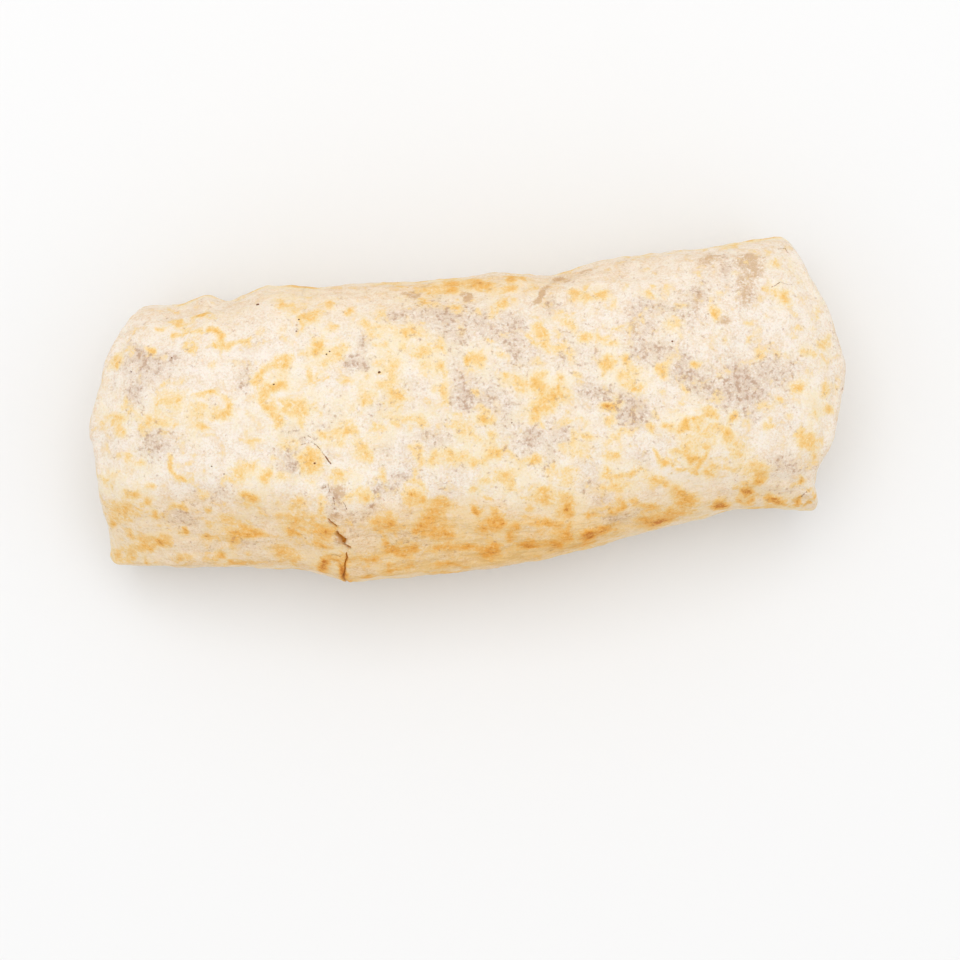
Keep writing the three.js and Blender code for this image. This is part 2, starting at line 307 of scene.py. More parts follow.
# The view that the marks on the skin were read from: straight down, in a frame of 960 by 960 pixels
FRAME_SIZE = 960
CAMERA_HEIGHT = 1000
CAMERA_TURN = math.radians(-6.1)
CAMERA_OVER = np.array([1.3, -20.2, CAMERA_HEIGHT])
MM_PER_PIXEL = 0.285
SCALE_LEVEL = 36
# How squarely the skin has to face the view: from the first its marks show, at the second fully
FACING = (0.08, 0.3)
# Wobble of the marks' edges: pixels, wavelength in mm and a seed for each direction
WOBBLE = [(1.3, 6, 11, 12), (0.6, 2.6, 13, 14)]
focal = (CAMERA_HEIGHT - SCALE_LEVEL) / MM_PER_PIXEL
picture_right = np.array([math.cos(CAMERA_TURN), math.sin(CAMERA_TURN), 0])
picture_up = np.array([-math.sin(CAMERA_TURN), math.cos(CAMERA_TURN), 0])


def in_picture(place):
    scale = focal / (CAMERA_HEIGHT - place[..., 2])
    seen_from = place - CAMERA_OVER
    right = seen_from @ picture_right * scale
    up = seen_from @ picture_up * scale
    return FRAME_SIZE / 2 + right, FRAME_SIZE / 2 - up


picture_u, picture_v = in_picture(smooth)
ray = smooth - CAMERA_OVER
facing = -np.sum(normal * ray, axis=-1) / np.linalg.norm(ray, axis=-1)
seen = smooth_step(facing, *FACING) * (closing == 0)
u, v = picture_u, picture_v
for pixels, wavelength, seed_u, seed_v in WOBBLE:
    u = u + pixels * unevenness(smooth, wavelength, seed_u)
    v = v + pixels * unevenness(smooth, wavelength, seed_v)

# Toasted marks: u, v, half length, half width, strength, and a turn in degrees where there is one
TOASTED = [
    (774, 265, 6, 5, .5), (785, 295, 5, 4, 1), (785, 296, 13, 12, .22), (767, 289, 5, 3, .4, 10),
    (715, 311, 4, 5, .85), (817, 314, 3, 5, .4), (799, 328, 5, 4, .45), (823, 343, 6, 6, .7),
    (808, 354, 8, 4, .5), (780, 355, 4, 4, .35), (760, 357, 5, 5, .4), (751, 338, 9, 3, .4, 60),
    (799, 388, 7, 5, 1, -15), (826, 390, 9, 5, .45, 70), (829, 408, 6, 3, .65, 20), (807, 440, 9, 9, .7),
    (815, 417, 6, 5, .4), (814, 457, 5, 5, .5), (768, 427, 5, 4, .5), (762, 406, 9, 4, .4),
    (733, 417, 4, 3, .95, 20), (728, 432, 5, 7, .65), (739, 449, 10, 6, .45), (761, 474, 6, 7, .5),
    (746, 488, 6, 5, .7), (741, 498, 4, 3, .5), (719, 503, 7, 4, .9), (801.5, 481, 2.5, 5, .7),
    (751, 467, 16, 8, .3), (709, 471, 5, 6, .45), (776, 502, 9, 3, .45), (759, 481, 5, 4, .45),
    (201, 313, 7, 3, .85, 20), (180, 324, 7, 4, .55), (152, 350, 5, 3, .7), (117, 361, 11, 4, .5, 55),
    (171, 401, 12, 12, .4), (148, 418, 9, 8, .5), (162, 424, 10, 5, .45), (119, 418, 7, 6, .55),
    (120, 431, 5, 5, .55), (101, 421, 4, 5, .45), (204, 406, 6, 4, .5), (222, 414, 10, 5, .5),
    (198, 427, 8, 6, .45), (195, 414, 9, 10, .3), (139, 464, 5, 3, .45), (150, 488, 5, 4, .5),
    (132, 494, 5, 3, .6), (146, 501, 5, 3, .55), (180, 506, 8, 3, .6), (103, 478, 5, 5, .55),
    (121, 510, 14, 11, .4), (112, 523, 4, 4, .55), (156, 516, 5, 4, .45), (142, 544, 8, 8, .45),
    (161, 541, 8, 5, .8), (184, 531, 4, 3, .6), (208, 538, 6, 4, .6), (219, 554, 5, 4, .5),
    (183, 557, 10, 4, .4), (116, 554, 5, 7, .5), (132, 555, 6, 5, .45), (248, 533, 20, 4, .65, -4),
    (208, 511, 4, 3, .5), (239, 474, 10, 7, .5), (202, 496, 5, 4, .4), (227, 519, 8, 5, .35),
    (248, 494, 8, 4, .8, -20), (253, 499, 7, 5, .5), (280, 302, 5, 5, .6), (292, 311, 8, 7, .3),
    (310, 317, 8, 5, .6, 20), (300, 323, 3, 6, .45), (329, 305, 4, 3, .6), (348, 311, 5, 4, .55, 20),
    (333, 327, 4, 4, .4), (318, 345, 6, 6, .85), (335, 356, 11, 8, .4), (282, 364, 10, 6, .5, 25),
    (309, 376, 5, 8, .6), (281, 385, 7, 5, .75), (272, 386, 6, 5, .45), (278, 422, 5, 6, .55),
    (301, 408, 11, 9, .6), (301, 424, 4, 6, .55), (367, 325, 6, 5, .45), (380, 330, 10, 4, .35),
    (410, 333, 17, 6, .55, -8), (425, 303, 6, 5, .5), (425, 351, 7, 5, .55), (438, 347, 7, 5, .5),
    (405, 345, 4, 4, .45), (390, 376, 9, 16, .5), (394, 362, 7, 8, .35), (400, 396, 7, 8, .7),
    (366, 396, 9, 7, .55), (426, 368, 9, 8, .4), (441, 369, 4, 5, .5), (445, 392, 5, 11, .65),
    (477, 361, 7, 6, .65), (321, 435, 5, 4, .5), (340, 431, 10, 9, .4), (310, 460, 10, 12, .5),
    (309, 457, 4, 6, .9, 20), (362, 450, 10, 13, .5), (381, 431, 6, 5, .45), (390, 416, 11, 6, .35),
    (408, 420, 9, 4, .5), (424, 422, 5, 6, .45), (419, 458, 7, 9, .6), (434, 458, 4, 6, .6),
    (449, 456, 7, 5, .7), (463, 428, 10, 12, .4), (473, 462, 5, 4, .55), (257, 441, 8, 4, .45),
    (294, 442, 4, 4, .5), (267, 477, 5, 7, .75), (284, 476, 6, 5, .45), (343, 475, 8, 6, .6),
    (383, 478, 4, 7, .55), (366, 495, 8, 5, .75), (349, 497, 6, 4, .5), (414, 495, 4, 4, .65),
    (424, 500, 5, 6, .6), (301, 503, 7, 6, .45), (322, 506, 4, 5, .6), (376, 521, 8, 7, .55),
    (391, 521, 7, 6, .6), (474, 511, 6, 3, .75, -30), (441, 505, 7, 6, .45), (431, 516, 8, 6, .45),
    (420, 528, 6, 4, .55), (434, 525, 16, 8, .4), (442, 536, 12, 4, .55, -8), (386, 541, 3, 5, .6),
    (393, 548, 8, 3, .6, 25), (414, 549, 6, 5, .55), (442, 549, 12, 4, .5), (466, 550, 12, 4, .5),
    (294, 531, 5, 4, .65), (324, 528, 13, 8, .5), (330, 529, 4, 3, .65), (296, 518, 13, 7, .4),
    (283, 551, 12, 6, .45), (324, 563, 5, 5, 1.1), (296, 560, 6, 3, .5), (232, 563, 5, 4, .5),
    (368, 556, 14, 4, .45), (451, 281, 8, 4, .6), (451, 288, 7, 4, .5), (434, 290, 9, 4, .4),
    (480, 284, 11, 5, .7, -5), (512, 278, 5, 3, .55), (511, 291, 9, 3, .6), (456, 309, 8, 5, .5, -15),
    (502, 305, 6, 5, .8), (491, 316, 4, 4, .4), (463, 330, 4, 5, .4), (489, 341, 4, 3, .5),
    (484, 417, 6, 5, .65), (484, 417, 2, 2, .6), (491, 436, 4, 8, .45), (495, 452, 9, 5, .65),
    (475, 394, 4, 4, .45), (575, 296, 6, 4, .55), (588, 297, 5, 4, .55), (601, 297, 6, 4, .6),
    (647, 294, 4, 3, .55), (569, 323, 9, 6, .55, -15), (540, 333, 5, 4, .5), (545, 345, 5, 5, .55),
    (561, 348, 7, 5, .55), (571, 358, 5, 6, .45), (585, 336, 7, 5, .6, -20), (610, 341, 7, 5, .5),
    (608, 363, 6, 6, .6), (636, 369, 7, 4, .45), (622, 378, 5, 8, .5), (666, 363, 7, 4, .55, 25),
    (664, 376, 5, 6, .55), (694, 365, 4, 3, .8, 20), (684, 387, 5, 4, .55), (638, 388, 9, 5, .45),
    (519, 383, 9, 9, .5), (537, 383, 6, 7, .85), (547, 387, 5, 3, .5), (560, 383, 5, 8, .5),
    (547, 402, 20, 9, .65, 30), (534, 418, 7, 8, .45), (575, 420, 8, 3, .4), (579, 374, 4, 4, .45),
    (611, 405, 8, 6, 1, 10), (611, 422, 4, 5, .55), (587, 438, 5, 4, .75), (574, 439, 4, 5, .55),
    (608, 441, 5, 4, .45), (629, 432, 7, 4, .45), (613, 457, 6, 6, .6), (535, 459, 7, 4, .85, 10),
    (514, 457, 4, 4, .5), (579, 452, 14, 8, .35), (606, 472, 4, 4, .65), (632, 471, 8, 4, .6, 25),
    (621, 476, 10, 4, .45), (666, 427, 4.5, 3.5, .85), (706, 409, 7, 4, .55), (691, 440, 15, 14, .42),
    (690, 457, 5, 3.5, .8, 10), (722, 427, 5, 5, .5), (729, 433, 5, 7, .6), (657, 413, 7, 4, .4, -60),
    (659, 480, 9, 4, .6, -10), (684, 498, 8, 7, .6), (676, 490, 8, 4, .45, -25), (651, 506, 7, 4, .55),
    (488, 499, 4, 4, .5), (483, 481, 8, 5, .45), (505, 475, 10, 10, .4), (545, 490, 7, 4, .55),
    (544, 498, 10, 6, .55), (567, 499, 7, 5, .55), (568, 510, 7, 7, .75), (497, 522, 9, 5, .7),
    (482, 528, 7, 5, .5), (515, 527, 5, 3, .55), (547, 524, 16, 5, .6, -5), (593, 514, 5, 4, .6),
    (622, 505, 3, 3, .65), (610, 488, 17, 4, .45, 10), (656, 522, 15, 5, .55, 8),
    (671, 534, 8, 4, .5, 10), (567, 534, 6, 4, .55, 35), (588, 536, 9, 5, .55, 40),
    (603, 529, 12, 3, .55, 10), (608, 542, 12, 4, .4, 25), (529, 545, 11, 4, .55), (556, 544, 9, 5, .5),
    (493, 549, 5, 6, .55), (486, 555, 9, 5, .55), (675, 512, 14, 5, .4, 8), (652, 286, 4, 3, .45),
    (506, 359, 4, 4, .4), (569, 479, 14, 8, .35), (778, 399, 4, 5, .3), (838, 388, 3, 6, .4),
    (751, 498, 3, 3, .6), (725, 467, 10, 5, .4), (727, 340, 5, 5, .25), (162, 329, 3, 2, .5),
    (212, 365, 5, 5, .3), (237, 362, 8, 5, .25), (123, 402, 4, 6, .4), (201, 395, 10, 3, .3),
    (229, 408, 3, 6, .4), (258, 379, 5, 8, .4), (129, 455, 6, 10, .3), (129, 533, 4, 3, .45),
    (148, 562, 4, 3, .5), (252, 466, 8, 5, .35), (246, 564, 8, 3, .45), (258, 331, 6, 5, .3),
    (281, 331, 6, 6, .3), (314, 354, 6, 5, .4), (346, 347, 5, 4, .35), (286, 408, 6, 7, .4),
    (379, 312, 4, 4, .4), (381, 347, 5, 3, .35), (347, 382, 6, 5, .35), (365, 375, 6, 5, .3),
    (349, 427, 5, 5, .4), (340, 444, 4, 5, .4), (282, 442, 5, 5, .35), (314, 481, 5, 4, .3),
    (401, 281, 5, 5, .5), (469, 281, 5, 4, .45), (475, 314, 3, 3, .4), (407, 319, 3, 3, .4),
    (470, 363, 4, 4, .6), (502, 380, 5, 6, .35), (475, 439, 7, 4, .4), (417, 445, 4, 5, .45),
    (464, 456, 5, 6, .45), (501, 476, 9, 5, .4), (511, 281, 6, 3, .4), (524, 282, 4, 3, .5),
    (613, 303, 3, 5, .4), (624, 285, 3, 3, .45), (617, 326, 4, 3, .45), (626, 358, 4, 6, .4),
    (650, 430, 5, 6, .4), (548, 471, 6, 5, .45), (673, 325, 11, 10, .35), (473, 491, 5, 4, .45),
    (449, 508, 8, 5, .45), (401, 551, 7, 4, .45), (233, 538, 5, 7, .55), (391, 568, 8, 3, .5),
    (409, 564, 7, 5, .4), (366, 578, 12, 3, .45), (321, 543, 8, 3, .45), (449, 566, 14, 3, .35),
    (334, 556, 6, 3, .55), (510, 485, 6, 6, .4), (526, 500, 6, 3, .4), (529, 509, 6, 3, .4),
    # The last mark here, left of the split's lower line, is partly toast and partly painted shade on the
    # split's left lip
    (636, 503, 6, 6, .4), (584, 547, 8, 3, .5), (510, 538, 5, 6, .5), (342.5, 568, 3.5, 9, 1.1),
    (775, 502, 8, 3, .5), (598, 530, 10, 3, .55, 15), (660, 524, 11, 6, .5),
]
# Toasted strokes, where a fold or a bubble's rim touched the griddle, and along the fine folds at the front
# right brown lines that are partly painted shade in their creases: points, half width, strength
STROKES = [
    ([(676, 430), (682, 424), (690, 419.5)], 2.6, .6),
    ([(693, 419.5), (700, 418), (707, 415), (715, 414)], 2.6, .62),
    ([(653, 449), (658, 456), (665, 460), (673, 464.5)], 2.6, .62),
    ([(708, 450), (704, 458), (697, 463)], 2.4, .55), ([(697, 463), (690, 466)], 2, .35),
    ([(716, 422), (715, 432), (712, 443)], 2, .35), ([(672, 452), (680, 452), (688, 451)], 2.2, .5),
    ([(680, 468.5), (690, 469.5), (697, 469)], 2, .4),
    ([(168.5, 456), (170, 467), (176, 476), (186, 481)], 2.8, .6),
    ([(171, 336), (184, 334), (200, 331.5)], 2, .5),
    ([(208, 328.5), (217, 328.5), (222, 335), (220, 343), (214, 342)], 3, .62),
    ([(226, 345.5), (238, 342.5), (247, 337)], 2.4, .6),
    ([(253, 382), (261, 371), (275, 362), (287, 358)], 4, .5),
    ([(270, 386), (262, 392), (262, 400), (268, 409), (278, 423)], 4.5, .55),
    ([(196, 393), (212, 391.5), (224, 396), (231, 405), (226, 414), (214, 417)], 2.4, .4),
    # Along the fine folds at the front right: partly toast, partly painted shade in the creases
    ([(793, 504.3), (799.8, 501.5)], 1.4, .5), ([(800, 508.3), (806, 504.6), (810.5, 502.2)], 1.3, .5),
    ([(788, 506), (793, 508)], 1.4, .4), ([(806.5, 491.5), (809, 488.5)], 1.2, .35),
    ([(795, 500.5), (801, 498)], 1.2, .35), ([(812, 488), (814, 500)], 1.4, .35),
]
# Bare white flour over the bake: as the toasted marks
FLOURED = [
    (671, 472, 15, 4, 1, -25), (281, 397, 6, 5, 1), (243, 408, 4, 14, .7), (800, 335, 12, 9, .5),
    (122, 448, 9, 12, .5), (232, 352, 26, 6, .5), (268, 352, 12, 6, .5, 25), (345, 470, 6, 14, .5, 30),
    (322, 480, 8, 6, .5), (350, 502, 5, 4, .6), (640, 283, 20, 6, .5, 10), (560, 416, 12, 5, .4),
    (700, 486, 14, 5, .6, -15), (520, 305, 12, 6, .4), (184, 462, 12, 6, .5), (805, 311, 8, 10, .4),
]
# Marks with a dark eye in a paler ring, where a bubble touched the griddle: u, v, radius, strength
EYED = [
    (414, 493, 13, .6), (538, 337, 12, .5), (616, 505, 9, .5), (193, 345, 8, .4), (323, 376, 7, .4),
    (538, 383, 9, .6), (310, 461, 13, .6), (272, 400, 11, .35), (608, 363, 8, .4), (484, 417, 9, .4),
    (497, 522, 9, .5), (441, 505, 9, .35),
]
# Damp patches where the filling has come through: as the toasted marks
DAMP = [
    (138, 356, 8, 7, .9, 20), (129, 364, 5, 4, .6), (156, 372, 11, 8, .7), (135, 393, 7, 11, .75),
    (114, 387, 3, 3, .6), (243, 379, 5, 13, .7), (153, 445, 11, 11, .9), (189, 445, 8, 6, .35),
    (221, 494, 8, 7, .5), (183, 514, 11, 5, .5), (176, 521, 12, 6, .4), (172, 356, 8, 5, .35),
    (289, 457, 9, 11, .8), (294, 468, 4, 3, .9), (306, 440, 6, 5, .6), (363, 342, 3, 6, .8),
    (359, 362, 8, 5, .9), (396, 318, 9, 3, .6), (412, 313, 5, 4, .5), (332, 416, 9, 7, .4),
    (326, 428, 5, 3, .5), (382, 449, 6, 5, .6), (401, 472, 6, 3, .6), (382, 490, 6, 3, .7),
    (290, 430, 7, 5, .35), (401, 445, 9, 7, .3), (445, 317, 20, 8, .55), (450, 336, 9, 6, .55),
    (461, 338, 5, 4, .6), (489, 328, 8, 8, .5), (499, 336, 5, 8, .45), (516, 324, 6, 8, .7),
    (516, 352, 8, 9, .75), (459, 368, 6, 11, .5), (465, 386, 7, 8, .5), (467, 398, 5, 4, .6),
    (459, 404, 8, 6, .4), (495, 388, 9, 9, .4), (503, 404, 9, 9, .35), (437, 440, 9, 7, .75),
    (502, 430, 13, 12, .3), (328, 488, 5, 5, .8), (334, 503, 5, 9, .7), (373, 505, 3, 3, .9),
    (349, 515, 4, 3, .6), (364, 518, 7, 3, .5), (411, 533, 11, 5, .6, 10), (444, 555, 9, 5, .5),
    (250, 543, 14, 4, .4), (551, 309, 6, 6, .8), (594, 359, 5, 9, .55), (560, 361, 4, 4, .5),
    (640, 307, 8, 7, .7), (659, 307, 5, 4, .7), (652, 324, 5, 4, .6), (643, 350, 9, 9, .9),
    (665, 351, 7, 6, .8), (677, 307, 7, 6, .6), (691, 318, 6, 7, .5), (689, 357, 6, 5, .6),
    (691, 377, 8, 6, .7), (588, 392, 8, 5, .6), (601, 395, 7, 4, .8), (624, 399, 7, 8, .7),
    (639, 409, 9, 6, .9), (638, 424, 6, 5, .6), (533, 434, 5, 7, .8), (532, 444, 4, 6, .6),
    (564, 436, 6, 4, .7), (550, 446, 4, 5, .5), (551, 459, 4, 5, .5), (642, 460, 5, 6, .5),
    (725, 268, 4, 8, .6), (699, 294, 7, 7, .8), (749, 373, 15, 8, .5), (739, 387, 9, 6, .95, 25),
    (711, 390, 9, 7, .8), (749, 396, 14, 9, .8), (702, 382, 10, 7, .6), (747, 415, 7, 4, .6),
    (736, 366, 4, 6, .6), (787, 365, 13, 10, .35), (782, 461, 13, 4, .6), (795, 467, 10, 3, .6),
    (440, 360, 70, 45, .2), (690, 335, 70, 45, .2), (560, 440, 60, 30, .18), (480, 480, 80, 20, .15),
    (782, 488, 13, 8, .35), (602, 499, 5, 6, .4), (616, 516, 9, 4, .45), (600, 484, 8, 4, .4),
]
# Tan stains with a sharper edge, where the sheet has soaked through, and two thin lines of painted shade
# along a crease at the back edge: as the toasted marks
STAINS_AND_CREASE_SHADE = [
    (747, 260, 13, 6, .7, 5), (753, 271, 11, 10, .6), (708, 260, 11, 6, .6, 10), (747, 296, 9, 13, .6),
    (741, 283, 7, 6, .5), (697, 299, 4, 9, .8), (724, 320, 8, 6, .6), (541, 298, 14, 4, 1, 43),
    (559, 281, 9, 3, .8), (466, 296, 7, 4, .9, -45), (414, 295, 4, 5, .7), (635, 327, 4, 9, .7),
    # The thin lines at (407, 293) and (424, 287) are painted shade along a crease
    (338, 491, 8, 8, .9), (679, 291, 4, 6, .5), (342, 535, 6, 5, .9, 30), (407, 293, 9, 2, .6, 5),
    (424, 287, 11, 2, .6, 25), (585, 273, 9, 3, .6, 15), (334, 523, 5, 3, .8, -35), (340, 540, 4, 3, .8),
    (337, 514, 6, 4, .5),
]
# Fine folds of the sheet: both ends in the picture, half width in pixels and depth in mm, less for a ridge
FOLDS = [
    ((784, 496), (809, 489), 2, 0.5), ((800, 497), (808, 490), 1.2, 0.5),
    ((787, 507), (807, 497), 2, 0.6), ((799, 510), (814, 501), 2, 0.6),
    ((792, 501), (808, 493), 1.6, -0.35), ((796, 508), (811, 500), 1.6, -0.35),
    ((576, 531), (603, 528), 1.6, -0.35), ((598, 529), (630, 523), 1.6, -0.45),
    ((590, 533), (618, 529), 2, 0.3), ((612, 535), (630, 525), 1.4, 0.3),
    ((596, 543), (616, 536), 1.5, 0.3), ((838, 342), (839, 376), 2, 0.35),
    ((839, 372), (829, 416), 2, 0.35), ((830, 412), (821, 446), 2, 0.3),
    ((117, 334), (131, 326), 1.8, 0.5), ((124, 339), (143, 322), 2, -0.3),
    ((103, 447), (93, 440), 2, 0.4),
]
# Hairline cracks: points in the picture, half width in pixels and strength
CRACKS = [
    ([(304.5, 436.5), (305.7, 441), (308.7, 440.7)], 0.5, 0.45),
    ([(308, 435.7), (310.6, 437.6)], 0.5, 0.5), ([(301.5, 444.5), (305.3, 443.7)], 0.6, 0.45),
    ([(311.4, 442.2), (316.8, 445.6)], 0.8, 0.5),
    ([(317, 446), (319.8, 448.7), (322, 452), (325.6, 456.7)], 0.5, 0.55),
    ([(325.6, 456.7), (328.6, 461.3), (330.5, 463.6)], 0.8, 0.95),
    ([(289.2, 467.5), (296.5, 467.8)], 0.8, 0.35), ([(298, 462.9), (300.3, 467.8)], 0.6, 0.25),
    ([(303, 473.2), (304.9, 477.4)], 0.6, 0.25), ([(328, 484), (328.3, 487), (329.5, 492)], 0.7, 0.5),
    ([(323, 488), (327, 486.5)], 0.6, 0.45), ([(333, 497), (334.5, 503), (334.4, 509)], 0.7, 0.5),
    ([(343, 502), (344.9, 505), (346.7, 509.4)], 0.6, 0.55),
    ([(331.7, 555), (336, 555), (341.7, 557.5)], 0.6, 0.4),
    ([(771.8, 287), (776, 285), (780.4, 281.8)], 0.5, 0.5),
    ([(780.4, 281.8), (786, 284), (792, 284.5)], 0.5, 0.4),
    ([(778, 249), (785, 248), (788, 253)], 0.5, 0.4), ([(801.5, 496.7), (806.5, 491.7)], 0.9, 0.6),
]
CRACK_DEPTH = 0.12
CRACK_REACH = 2.5
CRACK_CUTS = 4
# A crack's full and outer half width, as shares of its own
CRACK_EDGE = (0.3, 1.5)
# How a mark fades from its middle, and the most that one mark covers
MARK_FADE = 0.85
MARK_POWER = 1.8
MARK_MOST = 0.98
# The paler halo round it, the spread of damp, and the ring and eye of a bubble's mark
HALO_REACH = 2.4
HALO_SHARE = 0.32
DAMP_REACH = 1.6
RING_STRENGTH = 0.65
RING_AT = 0.75
RING_WIDTH = 0.28
EYE_STRENGTH = 0.8
EYE_WIDTH = 0.3
FLOUR_COVER = 0.75


def from_mark(at_u, at_v, length, width, turn=0):
    slope = math.radians(turn)
    along = (u - at_u) * math.cos(slope) - (v - at_v) * math.sin(slope)
    across = (u - at_u) * math.sin(slope) + (v - at_v) * math.cos(slope)
    return np.hypot(along / length, across / width)


def mark_shape(apart):
    return np.exp(-MARK_FADE * apart**MARK_POWER)


def laid_over(under, over):
    return 1 - (1 - under) * (1 - over)


def painted(marks, reach=1.0, share=1.0):
    bare = np.ones(u.shape)
    for at_u, at_v, length, width, strength, *turn in marks:
        apart = from_mark(at_u, at_v, length, width, *turn) / reach
        bare *= 1 - np.clip(share * strength * mark_shape(apart), 0, MARK_MOST)
    return (1 - bare) * seen


def from_line(line, at_u, at_v):
    nearest = np.full(np.shape(at_u), np.inf)
    for (from_u, from_v), (to_u, to_v) in zip(line, line[1:]):
        run_u, run_v = to_u - from_u, to_v - from_v
        share = ((at_u - from_u) * run_u + (at_v - from_v) * run_v) / (run_u**2 + run_v**2)
        share = np.clip(share, 0, 1)
        apart = np.hypot(at_u - from_u - share * run_u, at_v - from_v - share * run_v)
        nearest = np.minimum(nearest, apart)
    return nearest


toast = painted(TOASTED)
for line, width, strength in STROKES:
    toast = laid_over(toast, strength * mark_shape(from_line(line, u, v) / width) * seen)
halo = painted(TOASTED, HALO_REACH, HALO_SHARE)
damp = painted(DAMP, DAMP_REACH)
stain_and_crease_shade = painted(STAINS_AND_CREASE_SHADE)
flour = painted(FLOURED)
for at_u, at_v, radius, strength in EYED:
    apart = np.hypot(u - at_u, v - at_v) / radius
    eye = RING_STRENGTH * bell(apart - RING_AT, RING_WIDTH) + EYE_STRENGTH * bell(apart, EYE_WIDTH)
    toast = laid_over(toast, strength * eye * seen)

toast *= 1 - FLOUR_COVER * flour
halo *= 1 - FLOUR_COVER * flour
damp *= 1 - flour

# Where the view doesn't reach, the griddle's marks are drawn at random: size, stretch and strength
UNSEEN_MARKS = 460
UNSEEN_SEED = 7
UNSEEN_SIZE = (1, 2.8)
UNSEEN_STRETCH = (0.7, 1.8)
UNSEEN_STRENGTH = (0.2, 0.55)
UNSEEN_HALO = 0.25
UNSEEN_HALO_REACH = 2.3
HARDLY_SEEN = 0.4
draw = np.random.default_rng(UNSEEN_SEED)
hidden = smooth[seen < HARDLY_SEEN]
for place in draw.choice(len(hidden), UNSEEN_MARKS):
    spot = draw.uniform(*UNSEEN_SIZE) * np.array([draw.uniform(*UNSEEN_STRETCH), 1, 1])
    apart = np.linalg.norm((smooth - hidden[place]) / spot, axis=-1)
    toast = laid_over(toast, draw.uniform(*UNSEEN_STRENGTH) * mark_shape(apart) * (1 - seen))
    halo = laid_over(halo, UNSEEN_HALO * bell(apart, UNSEEN_HALO_REACH) * (1 - seen))

# Low relief of the baked dough: broad waves, ripples and streaks along the sides, as rise and wavelength
WAVE_RISE, WAVE_LENGTH = 0.22, 13
RIPPLE_RISE, RIPPLE_LENGTH = 0.07, 4.5
STREAK_RISE, STREAK_LENGTH = 0.09, 4.2
STREAK_SQUEEZE = np.array([0.16, 1, 1])
STREAK_SLOPE = (0.1, 0.4)
TOAST_RISE = 0.16
DAMP_SINK = 0.06
off = np.zeros_like(x)
for height, wave_x, wave_y, shift_x, shift_y in LUMPS:
    wave = np.sin(2 * np.pi * x / wave_x + shift_x) * np.sin(2 * np.pi * y / wave_y + shift_y)
    off += on_body * height * wave
for start, end, width, depth in CREASES:
    off -= depth * crease_shape(x, y, start, end, width)
for (at_x, at_y), width, rise in BLISTERS:
    off += rise * bell(np.hypot(x - at_x, y - at_y), width)
off *= smooth_step(np.sin(angle), 0, EDGE_FADE) * (inset == 0)
for start, end, width, depth in FOLDS:
    off -= depth * crease_shape(picture_u, picture_v, start, end, width) * seen
below = 2 * np.pi - angle
tucked = smooth_step(below, seam_angle - SEAM_EDGE, seam_angle + SEAM_EDGE) * (angle > np.pi)
off -= TORTILLA * tucked * (np.pi - below) / (np.pi - seam_angle) * on_body

from_tear = (along_half - tear_share) * HALF_LENGTH
aside = np.abs(from_tear)
half = np.clip(tear_half(angle), 0, None) * on_tear_side
teeth = np.sin(angle * TEAR_TEETH[0]) * np.sin(angle * TEAR_TEETH[1] + 1)
ragged = half * (1 + TEAR_RAGGED * teeth)
torn = (1 - smooth_step(aside, ragged / 2, ragged + TEAR_WALL)) * smooth_step(half, *TEAR_OPENS)
lip = bell(aside - half - LIP_AT, LIP_WIDTH) * smooth_step(half, *LIP_LIFTS)
depth = TEAR_DEPTH * (TEAR_SHALLOW + (1 - TEAR_SHALLOW) * smooth_step(half, *TEAR_DEEPENS))
off += TEAR_LIP * lip * (1 - torn) - depth * torn

on_slope = smooth_step(1 - normal[..., 2], *STREAK_SLOPE)
streaks = unevenness(smooth * STREAK_SQUEEZE, STREAK_LENGTH, seed=6) * on_slope
off += on_body * (WAVE_RISE * unevenness(smooth, WAVE_LENGTH, seed=4) + STREAK_RISE * streaks)
off += RIPPLE_RISE * unevenness(smooth, RIPPLE_LENGTH, seed=5) + TOAST_RISE * toast - DAMP_SINK * damp

points = smooth + normal * off[..., None]
points[..., 2] = np.maximum(points[..., 2], 0)
flat_points = points.reshape(-1, 3)
centre = (flat_points.min(0) + flat_points.max(0)) / 2
shift = np.array([-centre[0], -centre[1], 0])

vertex_count = len(flat_points)
ring_count, around_count = angle.shape
column, row = np.meshgrid(np.arange(ring_count - 1), np.arange(around_count), indexing="ij")
next_row = (row + 1) % around_count
here = column * around_count
beyond = here + around_count
corners = [here + row, beyond + row, beyond + next_row, here + next_row]
faces = np.stack(corners, axis=-1).reshape(-1, 4).tolist()
faces.append(list(range(around_count)))
faces.append(list(range(vertex_count - 1, vertex_count - 1 - around_count, -1)))

skin_mesh = bpy.data.meshes.new("tortilla_skin")
skin_mesh.from_pydata(((flat_points + shift) * MM).tolist(), [], faces)

# What the material reads at each point: the marks, the sides' tint of toast with painted shade and warm
# reflected light, and the split with its painted shaded wall
LIP_TINT, LIP_TINT_WIDTH = 0.3, 0.5
LIP_TINT_FROM = (0.05, 0.3)
SHADED_WALL = (0.2, 0.6)
SHADED_FROM = (0.12, 0.5)
OPEN_WALL = 0.55
BACK_SHADE_AND_TOAST = 0.6
END_SHADE_AND_TOAST = 0.08
STEEP = (0.2, 1)
END_ON = (0.3, 1)
UNSEEN_SHADE_AND_TOAST = 0.5
SIDE_MARKS = 0.9
SEEN_BLISTERS = 0.35
lip_tint = LIP_TINT * bell(aside - half, LIP_TINT_WIDTH) * smooth_step(half, *LIP_TINT_FROM)
# Painted shade on the split's overhung wall, given the darkest colour of the split
shaded = (1 - smooth_step(from_tear + half, *SHADED_WALL)) * smooth_step(half, *SHADED_FROM)
